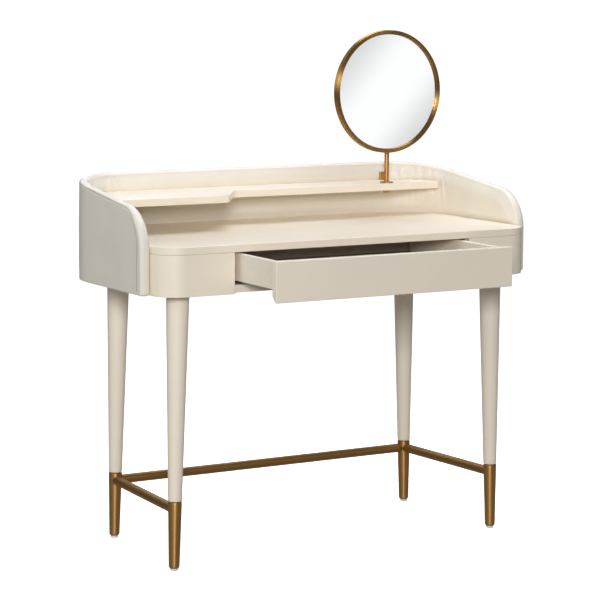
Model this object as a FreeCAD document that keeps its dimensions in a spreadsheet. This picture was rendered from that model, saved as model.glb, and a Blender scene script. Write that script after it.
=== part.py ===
import FreeCAD, Part
import os
import re
import Sketcher

# Dressing table: a lacquered case on four splayed legs with brass ferrules and stretchers,
# an upholstered gallery round three sides, a stepped shelf, a round swivelling mirror and a drawer.
# Frame: X to the right seen from the front, Y to the back, Z up from the floor.
# The drawer is drawn out by drawer_open; the origin is under the middle of the whole outline.

DIMENSIONS = [
    ("worktop_top", 760, "floor to the worktop's upper face"),
    ("worktop_thick", 18, "worktop panel"),
    ("case_floor", 646, "floor to the underside of the case"),
    ("case_half", 506.5, "half width of the case and worktop"),
    ("case_front", -167, "front face of the case"),
    ("case_back", 323, "rear face of the case"),
    ("case_board", 22, "fascia, side rails and back rail"),
    ("front_radius", 60, "front corners of the case, in plan"),
    ("rear_radius", 143, "rear corners of the case, in plan"),
    ("fascia_end", -60, "where the fascia meets the side rail"),
    ("edge_round", 1.5, "eased edges of lacquered panels"),
    ("bottom_thick", 18, "bottom panel"),
    ("opening_half", 323.5, "half width of the drawer opening"),
    ("partition_thick", 16, "partitions beside the drawer"),
    ("gallery_half", 507.5, "half width between the gallery's side walls"),
    ("gallery_back", 324, "inner face of the gallery's rear wall"),
    ("gallery_radius", 144, "inner radius of the gallery's rear corners"),
    ("gallery_thick", 25, "finished wall of the gallery"),
    ("gallery_front", -105, "front edge of the gallery's side walls"),
    ("gallery_top", 891, "top of the gallery's rear wall"),
    ("gallery_slope", 7.4, "fall of the side walls' top edge, in degrees"),
    ("gallery_nose", 100, "radius of the side walls' upper front corner"),
    ("gallery_ease", 450, "radius that levels the sloping top at the rear"),
    ("gallery_spare", 60, "height of blank above the shaped top edge"),
    ("border_thick", 3, "border strip over the gallery's top and front edges"),
    ("inner_pad", 7, "foam and cover on the inner face"),
    ("core_thick", 14, "bent plywood core"),
    ("shelf_top", 845, "floor to the shelf's upper face"),
    ("shelf_thick", 18, "shelf panel"),
    ("shelf_half", 489, "half length of the shelf"),
    ("shelf_back", 323.5, "rear edge of the shelf"),
    ("shelf_rear_radius", 125, "rear corners of the shelf"),
    ("shelf_deep_front", 104, "front edge of the deep left part"),
    ("shelf_slim_front", 210, "front edge of the shallow right part"),
    ("shelf_step", -190, "where the deep part's front edge turns back"),
    ("step_angle", 56, "slant of the step against the front edge, in degrees"),
    ("step_outer_radius", 12, "convex corner of the step"),
    ("step_inner_radius", 25, "concave corner of the step"),
    ("shelf_corner", 12, "front corners of the shelf"),
    ("post_across", 340, "mirror post, from the middle"),
    ("post_back", 234, "mirror post, front to back"),
    ("post_radius", 6, "mirror post"),
    ("post_foot", 819, "lower end of the mirror post"),
    ("running_gap", 0.05, "radial clearance of the post in its bushing"),
    ("bushing_wall", 2, "wall of the bushing in the shelf"),
    ("flange_radius", 17.4, "brass flange on the shelf"),
    ("flange_thick", 2.5, "brass flange"),
    ("flange_screw_circle", 11.5, "screws of the flange, from the post"),
    ("nut_radius", 8.5, "nut under the shelf"),
    ("nut_high", 7.4, "nut under the shelf"),
    ("clamp_wide", 14, "clamp block beside the post"),
    ("clamp_deep", 10, "clamp block"),
    ("clamp_high", 21, "clamp block"),
    ("clamp_foot", 852, "underside of the clamp block"),
    ("mirror_radius", 155.5, "outside of the mirror ring"),
    ("mirror_face", 9.5, "width of the ring's front face"),
    ("mirror_deep", 15.5, "depth of the ring"),
    ("mirror_middle", 1077, "floor to the mirror's centre"),
    ("glass_recess", 5.5, "glass behind the ring's front face"),
    ("glass_thick", 4, "mirror glass"),
    ("glass_gap", 0.1, "glass to ring"),
    ("plate_thick", 2, "plate behind the glass"),
    ("drawer_open", 182, "how far the drawer is drawn out"),
    ("drawer_half", 320.5, "half width of the drawer front"),
    ("drawer_front_top", 740, "top edge of the drawer front"),
    ("drawer_front_thick", 18, "drawer front"),
    ("drawer_bevel", 14, "bevel along the drawer front's lower rear edge"),
    ("drawer_side_half", 309.5, "outer faces of the drawer sides"),
    ("drawer_board", 12, "drawer sides and back"),
    ("drawer_side_low", 674, "lower edge of the drawer sides"),
    ("drawer_side_top", 738, "upper edge of the drawer sides"),
    ("drawer_long", 400, "length of the drawer sides"),
    ("drawer_base_low", 687, "underside of the drawer bottom"),
    ("drawer_base_thick", 4, "drawer bottom"),
    ("drawer_groove", 5, "depth of the groove that holds the drawer bottom"),
    ("runner_across", 272, "middle of each runner"),
    ("runner_wall", 1.5, "sheet steel of the runners"),
    ("runner_long", 396, "length of each runner member"),
    ("runner_start", -143, "front end of the fixed runner members"),
    ("fixed_half", 20, "half width of the fixed member"),
    ("fixed_high", 16, "height of the fixed member"),
    ("middle_half", 17.5, "half width of the middle member"),
    ("middle_low", 667, "underside of the middle member"),
    ("middle_high", 15, "height of the middle member"),
    ("moving_half", 15, "half width of the member on the drawer"),
    ("moving_low", 670.5, "lower edge of the member on the drawer"),
    ("leg_front_across", 434, "front legs at the case, from the middle"),
    ("leg_front_back", -96, "front legs at the case, front to back"),
    ("leg_rear_across", 411, "rear legs at the case, from the middle"),
    ("leg_rear_back", 257.5, "rear legs at the case, front to back"),
    ("splay_across", 11.5, "outward lean of a leg over the case's height"),
    ("splay_back", 3.6, "forward or backward lean over the case's height"),
    ("leg_top_radius", 27, "leg at the case"),
    ("leg_low_radius", 16.2, "leg at the ferrule"),
    ("tenon_radius", 11, "leg inside the ferrule"),
    ("tenon_low", 24, "lower end of the leg inside the ferrule"),
    ("ferrule_top", 162, "floor to the ferrule's upper edge"),
    ("ferrule_low_radius", 12.3, "ferrule at its lower end"),
    ("glide_high", 6, "plastic glide under the ferrule"),
    ("glide_radius", 9, "plastic glide"),
    ("stretcher_radius", 11.3, "brass stretchers"),
    ("stretcher_middle", 144, "floor to the stretchers' axis"),
    ("coped_radius", 15.72, "ferrule where the stretchers meet it"),
    ("bolt_radius", 4, "hanger bolts of the legs"),
    ("bolt_depth", 30, "hanger bolt inside the leg"),
    ("bolt_nut_radius", 8, "nut on a hanger bolt"),
    ("bolt_nut_high", 6, "nut on a hanger bolt"),
    ("screw_radius", 1.8, "runner screws"),
    ("wood_screw_radius", 2.5, "screws of the gallery and shelf"),
    ("wood_screw_head", 4.5, "head of a wood screw"),
]

doc = FreeCAD.newDocument("DressingTable")
sheet = doc.addObject("Spreadsheet::Sheet", "Dims")
for row, (name, size, note) in enumerate(DIMENSIONS, start=1):
    sheet.set(f"A{row}", name)
    sheet.set(f"B{row}", str(size))
    sheet.setAlias(f"B{row}", name)
    sheet.set(f"C{row}", note)
doc.recompute()

nodes = []


# ---- helpers -------------------------------------------------------------------------------

def bound(text):
    """The expression with each dimension addressed through the sheet."""
    return re.sub(r"\b([a-z]+(?:_[a-z]+)+)\b", r"Dims.\1", text)


def size_of(text):
    """The expression's value now."""
    result = sheet.evalExpression(text)
    return float(getattr(result, "Value", result))


def keep(part, label):
    part.Label = label
    nodes.append(part)
    return part


def place(part, where):
    for axis, text in zip("xyz", where):
        part.setExpression(f"Placement.Base.{axis}", bound(text))
    return part


def new_body(label):
    return keep(doc.addObject("PartDesign::Body", label), label)


def new_sketch(body, plane, shift=("0", "0", "0")):
    """A sketch on one of the body's origin planes, moved by shift in the plane's own directions."""
    sketch = body.newObject("Sketcher::SketchObject", body.Name + "_sketch")
    support = next(item for item in body.Origin.OriginFeatures if item.Role == plane)
    sketch.AttachmentSupport = (support, [""])
    sketch.MapMode = "FlatFace"
    for axis, text in zip("xyz", shift):
        sketch.setExpression(f"AttachmentOffset.Base.{axis}", bound(text))
    return sketch


def dimension(sketch, kind, text, *points):
    """A driven constraint whose value follows the sheet."""
    index = sketch.addConstraint(Sketcher.Constraint(kind, *points, size_of(text)))
    sketch.setExpression(f"Constraints[{index}]", bound(text))


def arc_between(start, end, radius, turn):
    """The shorter arc from start to end; turn is 1 for anticlockwise, -1 for clockwise."""
    chord = end - start
    middle = start + chord * 0.5
    rise = max(radius * radius - chord.Length ** 2 / 4, 0) ** 0.5
    across = FreeCAD.Vector(-chord.y, chord.x, 0).normalize()
    centre = middle + across * rise * turn
    first, last = (start, end) if turn > 0 else (end, start)
    circle = Part.Circle(centre, FreeCAD.Vector(0, 0, 1), radius)
    return Part.ArcOfCircle(circle, circle.parameter(first), circle.parameter(last))


def outline(sketch, corners):
    """A closed outline. Each corner is (x, y), or (x, y, radius, turn) where an arc leads on."""
    spots = [FreeCAD.Vector(size_of(corner[0]), size_of(corner[1]), 0) for corner in corners]
    sides = []
    for index, corner in enumerate(corners):
        start, end = spots[index], spots[(index + 1) % len(spots)]
        if len(corner) == 2:
            sides.append((sketch.addGeometry(Part.LineSegment(start, end)), 1, 2))
        else:
            edge = sketch.addGeometry(arc_between(start, end, size_of(corner[2]), corner[3]))
            sides.append((edge, 1, 2) if corner[3] > 0 else (edge, 2, 1))
    for index, corner in enumerate(corners):
        edge, first, last = sides[index]
        following, following_first, _ = sides[(index + 1) % len(sides)]
        sketch.addConstraint(Sketcher.Constraint("Coincident", edge, last, following, following_first))
        dimension(sketch, "DistanceX", corner[0], -1, 1, edge, first)
        dimension(sketch, "DistanceY", corner[1], -1, 1, edge, first)
        if len(corner) > 2:
            dimension(sketch, "Radius", corner[2], edge)
    return sketch


def ring(sketch, across, back, radius):
    spot = FreeCAD.Vector(size_of(across), size_of(back), 0)
    edge = sketch.addGeometry(Part.Circle(spot, FreeCAD.Vector(0, 0, 1), size_of(radius)))
    dimension(sketch, "DistanceX", across, -1, 1, edge, 3)
    dimension(sketch, "DistanceY", back, -1, 1, edge, 3)
    dimension(sketch, "Radius", radius, edge)


def pad(body, sketch, length, backwards=False):
    feature = body.newObject("PartDesign::Pad", body.Name + "_pad")
    feature.Profile = sketch
    feature.Reversed = backwards
    feature.setExpression("Length", bound(length))
    doc.recompute()
    return feature


def pocket(body, sketch, length, backwards=False):
    before = body.Shape.Volume
    feature = body.newObject("PartDesign::Pocket", body.Name + "_pocket")
    feature.Profile = sketch
    feature.Reversed = backwards
    feature.setExpression("Length", bound(length))
    doc.recompute()
    assert body.Shape.Volume < before - 1, f"{body.Label}: a pocket cut nothing"
    return feature


def ease(body, wanted):
    """Round the edges for which wanted(box of the edge) holds."""
    base = body.Tip
    names = [f"Edge{i}" for i, edge in enumerate(base.Shape.Edges, 1) if wanted(edge.BoundBox)]
    feature = body.newObject("PartDesign::Fillet", body.Name + "_ease")
    feature.Base = (base, names)
    feature.setExpression("Radius", bound("edge_round"))
    doc.recompute()
    return feature


def box(label, low, extent):
    part = place(doc.addObject("Part::Box", label), low)
    for side, text in zip(("Length", "Width", "Height"), extent):
        part.setExpression(side, bound(text))
    return keep(part, label)


def rod(name, radius, length, foot, axis=FreeCAD.Vector(0, 0, 1)):
    """A cylinder from its foot along an axis."""
    part = doc.addObject("Part::Cylinder", name)
    part.setExpression("Radius", bound(radius))
    part.setExpression("Height", bound(length))
    part.Placement.Rotation = FreeCAD.Rotation(FreeCAD.Vector(0, 0, 1), axis)
    return place(part, foot)


def cut(name, base, tool):
    part = doc.addObject("Part::Cut", name)
    part.Base = base
    part.Tool = tool
    return part


def group(name, kind, members):
    part = doc.addObject(kind, name)
    setattr(part, "Links" if kind == "Part::Compound" else "Shapes", members)
    return part


# ---- case ----------------------------------------------------------------------------------

def rounded_plan(sketch, half, front, back, front_turn, rear_turn):
    """A panel's plan with rounded front and rear corners."""
    outline(sketch, [
        (f"-({half}) + {front_turn}", front),
        (f"{half} - ({front_turn})", front, front_turn, 1),
        (half, f"{front} + {front_turn}"),
        (half, f"{back} - ({rear_turn})", rear_turn, 1),
        (f"{half} - ({rear_turn})", back),
        (f"-({half}) + {rear_turn}", back, rear_turn, 1),
        (f"-({half})", f"{back} - ({rear_turn})"),
        (f"-({half})", f"{front} + {front_turn}", front_turn, 1),
    ])


def make_worktop():
    body = new_body("worktop")
    sketch = new_sketch(body, "XY_Plane", ("0", "0", "worktop_top - worktop_thick"))
    rounded_plan(sketch, "case_half", "case_front", "case_back", "front_radius", "rear_radius")
    pad(body, sketch, "worktop_thick")
    ease(body, lambda edge: edge.ZLength < 0.01 and edge.ZMax > size_of("worktop_top") - 0.01)


def make_bottom_panel():
    body = new_body("bottom_panel")
    sketch = new_sketch(body, "XY_Plane", ("0", "0", "case_floor"))
    rounded_plan(sketch, "(case_half - case_board)", "(case_front + case_board)",
                 "(case_back - case_board)", "(front_radius - case_board)", "(rear_radius - case_board)")
    pad(body, sketch, "bottom_thick")
    holes = new_sketch(body, "XY_Plane", ("0", "0", "case_floor + bottom_thick"))
    for across, back, _ in LEG_TOPS:
        ring(holes, across, back, "bolt_radius")
    for across, back in RUNNER_SCREWS:
        ring(holes, across, back, "screw_radius")
    pocket(body, holes, "bottom_thick")


def make_case_sides(label, side):
    """The fascia with its rounded corner, the side rail with its rear corner, and the partition."""
    height = "worktop_top - worktop_thick - case_floor"
    turn = side
    inner = "(case_half - case_board)"
    fascia = new_body(f"{label}_fascia")
    sketch = new_sketch(fascia, "XY_Plane", ("0", "0", "case_floor"))
    outline(sketch, [
        (f"{side} * opening_half", "case_front"),
        (f"{side} * (case_half - front_radius)", "case_front", "front_radius", turn),
        (f"{side} * case_half", "case_front + front_radius"),
        (f"{side} * case_half", "fascia_end"),
        (f"{side} * {inner}", "fascia_end"),
        (f"{side} * {inner}", "case_front + front_radius", "front_radius - case_board", -turn),
        (f"{side} * (case_half - front_radius)", "case_front + case_board"),
        (f"{side} * opening_half", "case_front + case_board"),
    ])
    pad(fascia, sketch, height)
    rail = new_body(f"{label}_side_rail")
    sketch = new_sketch(rail, "XY_Plane", ("0", "0", "case_floor"))
    outline(sketch, [
        (f"{side} * case_half", "fascia_end"),
        (f"{side} * case_half", "case_back - rear_radius", "rear_radius", turn),
        (f"{side} * (case_half - rear_radius)", "case_back"),
        (f"{side} * (case_half - rear_radius)", "case_back - case_board",
         "rear_radius - case_board", -turn),
        (f"{side} * {inner}", "case_back - rear_radius"),
        (f"{side} * {inner}", "fascia_end"),
    ])
    pad(rail, sketch, height)
    low = "opening_half" if side > 0 else "-opening_half - partition_thick"
    box(f"{label}_partition", (low, "case_front + case_board", "case_floor + bottom_thick"),
        ("partition_thick", "case_back - case_front - 2 * case_board", f"{height} - bottom_thick"))


# ---- upholstered gallery -------------------------------------------------------------------

def gallery_wall(name, near, far, inset):
    """The U-shaped wall between two depths, its top and front edges drawn in by inset."""
    body = doc.addObject("PartDesign::Body", name)
    flat_back = "gallery_back - gallery_radius"
    flat_side = "gallery_half - gallery_radius"
    front = f"gallery_front + {inset}"
    inside, outside = f"gallery_half + {near}", f"gallery_half + {far}"
    turn_in, turn_out = f"gallery_radius + {near}", f"gallery_radius + {far}"
    sketch = new_sketch(body, "XY_Plane", ("0", "0", "case_floor"))
    outline(sketch, [
        (inside, front),
        (inside, flat_back, turn_in, 1),
        (flat_side, f"gallery_back + {near}"),
        (f"-({flat_side})", f"gallery_back + {near}", turn_in, 1),
        (f"-({inside})", flat_back),
        (f"-({inside})", front),
        (f"-({outside})", front),
        (f"-({outside})", flat_back, turn_out, -1),
        (f"-({flat_side})", f"gallery_back + {far}"),
        (flat_side, f"gallery_back + {far}", turn_out, -1),
        (outside, flat_back),
        (outside, front),
    ])
    pad(body, sketch, "gallery_top + gallery_spare - case_floor")
    rear = "(gallery_back + gallery_thick)"
    ease_low = f"{rear} - (gallery_ease - {inset}) * sin(gallery_slope)"
    ease_high = f"gallery_top - gallery_ease + (gallery_ease - {inset}) * cos(gallery_slope)"
    nose_back = "(gallery_front + gallery_nose)"
    run = f"({rear} - gallery_ease * sin(gallery_slope) - {nose_back} + gallery_nose * sin(gallery_slope))"
    nose_middle = ("(gallery_top - gallery_ease + gallery_ease * cos(gallery_slope)"
                   f" - {run} * tan(gallery_slope) - gallery_nose * cos(gallery_slope))")
    above = "gallery_top + 2 * gallery_spare"
    profile = new_sketch(body, "YZ_Plane", ("0", "0", "gallery_half + 2 * gallery_thick"))
    outline(profile, [
        (f"gallery_front + {inset}", nose_middle, f"gallery_nose - {inset}", -1),
        (f"{nose_back} - (gallery_nose - {inset}) * sin(gallery_slope)",
         f"{nose_middle} + (gallery_nose - {inset}) * cos(gallery_slope)"),
        (ease_low, ease_high, f"gallery_ease - {inset}", -1),
        (rear, f"gallery_top - {inset}"),
        (f"{rear} + gallery_spare", f"gallery_top - {inset}"),
        (f"{rear} + gallery_spare", above),
        (f"gallery_front - gallery_spare", above),
        (f"gallery_front - gallery_spare", nose_middle),
    ])
    pocket(body, profile, "2 * gallery_half + 4 * gallery_thick")
    return body


def make_gallery():
    keep(gallery_wall("gallery_core", "inner_pad", "(inner_pad + core_thick)", "border_thick"),
         "gallery_core")
    keep(gallery_wall("gallery_inner_pad", "0", "inner_pad", "border_thick"), "gallery_inner_pad")
    keep(gallery_wall("gallery_outer_cover", "(inner_pad + core_thick)", "gallery_thick", "border_thick"),
         "gallery_outer_cover")
    whole = gallery_wall("gallery_whole", "0", "gallery_thick", "0")
    filling = gallery_wall("gallery_filling", "0", "gallery_thick", "border_thick")
    keep(cut("gallery_border_strip", whole, filling), "gallery_border_strip")


# ---- shelf ---------------------------------------------------------------------------------

def make_shelf():
    body = new_body("shelf")
    sketch = new_sketch(body, "XY_Plane", ("0", "0", "shelf_top - shelf_thick"))
    outer_run = "step_outer_radius * tan(step_angle / 2)"
    inner_run = "step_inner_radius * tan(step_angle / 2)"
    step_end = "(shelf_step + (shelf_slim_front - shelf_deep_front) / tan(step_angle))"
    rear_centre = "(shelf_back - shelf_rear_radius)"
    right_end = ("shelf_half - shelf_rear_radius + sqrt(shelf_rear_radius ^ 2"
                 f" - (shelf_slim_front + shelf_corner - {rear_centre}) ^ 2)")
    outline(sketch, [
        ("-shelf_half + shelf_corner", "shelf_deep_front"),
        (f"shelf_step - {outer_run}", "shelf_deep_front", "step_outer_radius", 1),
        (f"shelf_step + {outer_run} * cos(step_angle)",
         f"shelf_deep_front + {outer_run} * sin(step_angle)"),
        (f"{step_end} - {inner_run} * cos(step_angle)",
         f"shelf_slim_front - {inner_run} * sin(step_angle)", "step_inner_radius", -1),
        (f"{step_end} + {inner_run}", "shelf_slim_front"),
        ("shelf_half - shelf_corner", "shelf_slim_front", "shelf_corner", 1),
        (right_end, "shelf_slim_front + shelf_corner", "shelf_rear_radius", 1),
        ("shelf_half - shelf_rear_radius", "shelf_back"),
        ("-shelf_half + shelf_rear_radius", "shelf_back", "shelf_rear_radius", 1),
        ("-shelf_half", "shelf_back - shelf_rear_radius"),
        ("-shelf_half", "shelf_deep_front + shelf_corner", "shelf_corner", 1),
    ])
    pad(body, sketch, "shelf_thick")
    holes = new_sketch(body, "XY_Plane", ("0", "0", "shelf_top"))
    ring(holes, "post_across", "post_back", "post_radius + running_gap + bushing_wall")
    for across, back in FLANGE_SCREWS:
        ring(holes, across, back, "screw_radius")
    pocket(body, holes, "shelf_thick")


# ---- mirror --------------------------------------------------------------------------------

def turned(label, stages, holes):
    """A round piece on the post's axis: stages of (radius, foot, height), bored through."""
    body = new_body(label)
    for radius, foot, height in stages:
        sketch = new_sketch(body, "XY_Plane", ("0", "0", foot))
        ring(sketch, "post_across", "post_back", radius)
        pad(body, sketch, height)
    top = new_sketch(body, "XY_Plane", ("0", "0", f"{stages[-1][1]} + {stages[-1][2]}"))
    for across, back, radius in holes:
        ring(top, across, back, radius)
    pocket(body, top, f"{stages[-1][1]} + {stages[-1][2]} - ({stages[0][1]})")


def disc(label, radius, start, thick):
    """A disc on the mirror's axis, its front face start behind the ring's middle plane."""
    body = new_body(label)
    sketch = new_sketch(body, "XZ_Plane", ("0", "0", f"-(post_back + {start})"))
    ring(sketch, "post_across", "mirror_middle", radius)
    pad(body, sketch, thick, backwards=True)


def make_mirror():
    bore = "post_radius + running_gap"
    turned("mirror_flange", [("flange_radius", "shelf_top", "flange_thick")],
           [("post_across", "post_back", bore)]
           + [(across, back, "screw_radius") for across, back in FLANGE_SCREWS])
    turned("post_bushing", [(f"{bore} + bushing_wall", "shelf_top - shelf_thick", "shelf_thick")],
           [("post_across", "post_back", bore)])
    turned("post_nut", [("nut_radius", "shelf_top - shelf_thick - nut_high - 2 * running_gap", "nut_high")],
           [("post_across", "post_back", "post_radius")])
    frame = new_body("mirror_ring")
    section = new_sketch(frame, "XY_Plane", ("post_across", "post_back", "mirror_middle"))
    outline(section, [
        ("mirror_radius - mirror_face", "-mirror_deep / 2"),
        ("mirror_radius", "-mirror_deep / 2"),
        ("mirror_radius", "mirror_deep / 2"),
        ("mirror_radius - mirror_face", "mirror_deep / 2"),
    ])
    turn = frame.newObject("PartDesign::Revolution", "mirror_ring_turn")
    turn.Profile = section
    turn.ReferenceAxis = (section, ["V_Axis"])
    turn.Angle = 360
    doc.recompute()
    glass = "mirror_radius - mirror_face - glass_gap"
    glass_start = "glass_recess - mirror_deep / 2"
    disc("mirror_glass", glass, glass_start, "glass_thick")
    disc("mirror_back_plate", glass, f"{glass_start} + glass_thick", "plate_thick")
    stem = rod("post_stem", "post_radius", "mirror_middle - mirror_radius + post_radius - post_foot",
               ("post_across", "post_back", "post_foot"))
    saddle = rod("post_saddle", "mirror_radius", "2 * clamp_deep",
                 ("post_across", "post_back - clamp_deep", "mirror_middle"), FreeCAD.Vector(0, 1, 0))
    keep(cut("mirror_post", stem, saddle), "mirror_post")
    block = doc.addObject("Part::Box", "clamp_block")
    for side, text in (("Length", "clamp_wide"), ("Width", "clamp_deep"), ("Height", "clamp_high")):
        block.setExpression(side, bound(text))
    place(block, ("post_across - post_radius - clamp_wide + 1", "post_back - clamp_deep / 5", "clamp_foot"))
    hole = rod("clamp_hole", "post_radius", "2 * clamp_high",
               ("post_across", "post_back", "clamp_foot - clamp_high / 2"))
    keep(cut("post_clamp", block, hole), "post_clamp")


# ---- drawer and runners --------------------------------------------------------------------

def make_drawer():
    front = new_body("drawer_front")
    sketch = new_sketch(front, "YZ_Plane", ("0", "0", "-drawer_half"))
    face = "case_front - drawer_open"
    rear = f"{face} + drawer_front_thick"
    outline(sketch, [
        (face, "case_floor"),
        (f"{rear} - drawer_bevel", "case_floor"),
        (rear, "case_floor + drawer_bevel"),
        (rear, "drawer_front_top"),
        (face, "drawer_front_top"),
    ])
    pad(front, sketch, "2 * drawer_half")
    ease(front, lambda edge: edge.YMax < size_of(face) + 0.01)
    for label, side in SIDES:
        board = new_body(f"drawer_{label}_side")
        sketch = new_sketch(board, "XZ_Plane", ("0", "0", f"-({rear})"))
        outer, inner = "drawer_side_half", "(drawer_side_half - drawer_board)"
        groove = f"{side} * ({inner} + drawer_groove)"
        outline(sketch, [
            (f"{side} * {outer}", "drawer_side_low"),
            (f"{side} * {outer}", "drawer_side_top"),
            (f"{side} * {inner}", "drawer_side_top"),
            (f"{side} * {inner}", "drawer_base_low + drawer_base_thick"),
            (groove, "drawer_base_low + drawer_base_thick"),
            (groove, "drawer_base_low"),
            (f"{side} * {inner}", "drawer_base_low"),
            (f"{side} * {inner}", "drawer_side_low"),
        ])
        pad(board, sketch, "drawer_long", backwards=True)
    inner = "(drawer_side_half - drawer_board)"
    base_top = "drawer_base_low + drawer_base_thick"
    box("drawer_back", (f"-{inner}", f"{rear} + drawer_long - drawer_board", base_top),
        (f"2 * {inner}", "drawer_board", f"drawer_side_top - ({base_top})"))
    box("drawer_bottom", (f"-{inner} - drawer_groove", rear, "drawer_base_low"),
        (f"2 * ({inner} + drawer_groove)", "drawer_long", "drawer_base_thick"))


def channel(label, side, half, low, high, start, upright=True):
    """A pressed steel channel along Y, open above, or below where it isn't upright."""
    body = new_body(label)
    sketch = new_sketch(body, "XZ_Plane", (f"{side} * runner_across", "0", f"-({start})"))
    web, lip = (low, high) if upright else (high, low)
    sheet_edge = f"{web} + runner_wall" if upright else f"{web} - runner_wall"
    outline(sketch, [
        (f"-{half}", web),
        (half, web),
        (half, lip),
        (f"{half} - runner_wall", lip),
        (f"{half} - runner_wall", sheet_edge),
        (f"-{half} + runner_wall", sheet_edge),
        (f"-{half} + runner_wall", lip),
        (f"-{half}", lip),
    ])
    pad(body, sketch, "runner_long", backwards=True)
    return body


def make_runners():
    base = "(case_floor + bottom_thick)"
    for label, side in SIDES:
        fixed = channel(f"runner_fixed_{label}", side, "fixed_half", base, f"{base} + fixed_high",
                        "runner_start")
        holes = new_sketch(fixed, "XY_Plane", ("0", "0", f"{base} + runner_wall"))
        for across, back in RUNNER_SCREWS:
            if across.startswith(f"{side} *"):
                ring(holes, across, back, "screw_radius")
        pocket(fixed, holes, "runner_wall")
        channel(f"runner_middle_{label}", side, "middle_half", "middle_low",
                "middle_low + middle_high", "runner_start - drawer_open / 2")
        channel(f"runner_moving_{label}", side, "moving_half", "moving_low",
                "drawer_base_low", "runner_start - drawer_open", upright=False)


# ---- legs, ferrules and stretchers ---------------------------------------------------------

def leg_axis(across, back, lean, low):
    """Where a leg's axis is at a height."""
    share = f"((case_floor - ({low})) / case_floor)"
    side = "-" if across.startswith("-") else "+"
    return f"{across} {side} splay_across * {share}", f"{back} {lean} splay_back * {share}"


def tapered(body, leg, stations, kind="PartDesign::AdditiveLoft"):
    """A round taper along a leg's axis through stations of (height, radius)."""
    sketches = []
    for low, radius in stations:
        sketch = new_sketch(body, "XY_Plane", ("0", "0", low))
        across, back = leg_axis(*leg, low)
        ring(sketch, across, back, radius)
        sketches.append(sketch)
    feature = body.newObject(kind, body.Name + "_taper")
    feature.Profile = sketches[0]
    feature.Sections = sketches[1:]
    feature.Ruled = True
    doc.recompute()


def make_legs():
    for label, leg in zip(LEG_NAMES, LEG_TOPS):
        tenon = [("ferrule_top", "tenon_radius"), ("tenon_low", "tenon_radius")]
        wood = new_body(f"leg_{label}")
        tapered(wood, leg, [("case_floor", "leg_top_radius"), ("ferrule_top", "leg_low_radius")])
        tapered(wood, leg, tenon)
        hole = new_sketch(wood, "XY_Plane", ("0", "0", "case_floor"))
        ring(hole, leg[0], leg[1], "bolt_radius")
        pocket(wood, hole, "bolt_depth")
        ferrule = new_body(f"ferrule_{label}")
        tapered(ferrule, leg, [("ferrule_top", "leg_low_radius"), ("glide_high", "ferrule_low_radius")])
        tapered(ferrule, leg, tenon, "PartDesign::SubtractiveLoft")
        glide = new_body(f"glide_{label}")
        tapered(glide, leg, [("0", "glide_radius"), ("glide_high", "glide_radius")])


def stretcher(label, first, second):
    """A rod between two ferrules, its ends coped to them."""
    ends = [leg_axis(*leg, "stretcher_middle") for leg in (first, second)]
    (x_one, y_one), (x_two, y_two) = ends
    length = f"sqrt(({x_two} - ({x_one})) ^ 2 + ({y_two} - ({y_one})) ^ 2)"
    direction = FreeCAD.Vector(size_of(f"{x_two} - ({x_one})"), size_of(f"{y_two} - ({y_one})"), 0)
    bar = rod(f"{label}_bar", "stretcher_radius", length, (x_one, y_one, "stretcher_middle"), direction)
    copes = [rod(f"{label}_cope", "coped_radius", "4 * stretcher_radius",
                 (across, back, "stretcher_middle - 2 * stretcher_radius")) for across, back in ends]
    keep(cut(label, bar, group(f"{label}_copes", "Part::MultiFuse", copes)), label)


# ---- fasteners -----------------------------------------------------------------------------

def screws(label, spots, shank, head, axis=FreeCAD.Vector(0, 0, 1)):
    """Identical screws: shank and head are (radius, length); each spot is (foot, head's foot)."""
    members = []
    for foot, top in spots:
        pieces = [rod(f"{label}_shank", *shank, foot, axis), rod(f"{label}_head", *head, top, axis)]
        members.append(group(f"{label}_one", "Part::MultiFuse", pieces))
    keep(group(label, "Part::Compound", members), label)


def make_fasteners():
    panel_top = "case_floor + bottom_thick"
    screws("leg_hanger_bolts",
           [((across, back, "case_floor - bolt_depth"), (across, back, panel_top))
            for across, back, _ in LEG_TOPS],
           ("bolt_radius", "bolt_depth + bottom_thick + bolt_nut_high"),
           ("bolt_nut_radius", "bolt_nut_high"))
    screws("runner_screws",
           [((across, back, "case_floor + 2 * runner_wall"), (across, back, f"{panel_top} + runner_wall"))
            for across, back in RUNNER_SCREWS],
           ("screw_radius", "bottom_thick - runner_wall"), ("2 * screw_radius", "0.6 * runner_wall"))
    screws("flange_screws",
           [((across, back, "shelf_top - shelf_thick + 2 * runner_wall"),
             (across, back, "shelf_top + flange_thick")) for across, back in FLANGE_SCREWS],
           ("screw_radius", "shelf_thick - 2 * runner_wall + flange_thick"),
           ("1.5 * screw_radius", "0.5 * runner_wall"))
    core_face = "gallery_back + inner_pad + core_thick"
    screws("shelf_screws",
           [((f"{step} * shelf_half / 4", "shelf_back - 2 * bolt_depth", "shelf_top - shelf_thick / 2"),
             (f"{step} * shelf_half / 4", f"{core_face} - runner_wall", "shelf_top - shelf_thick / 2"))
            for step in (-2, -0.5, 1, 2)],
           ("wood_screw_radius", f"{core_face} - shelf_back + 2 * bolt_depth - runner_wall"),
           ("wood_screw_head", "runner_wall"), FreeCAD.Vector(0, 1, 0))
    rail_face = "(case_half - case_board)"
    shank = "case_board + inner_pad + core_thick - runner_wall"
    for label, side in SIDES:
        spots = []
        for back in ("fascia_end + bolt_depth", "(fascia_end + case_back - rear_radius) / 2",
                     "case_back - rear_radius - bolt_depth"):
            height = "(case_floor + worktop_top) / 2"
            spots.append(((f"{side} * {rail_face}", back, height),
                          (f"{side} * ({rail_face} - 2 * runner_wall)", back, height)))
        screws(f"gallery_screws_{label}", spots, ("wood_screw_radius", shank),
               ("wood_screw_head", "2 * runner_wall"), FreeCAD.Vector(side, 0, 0))


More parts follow.
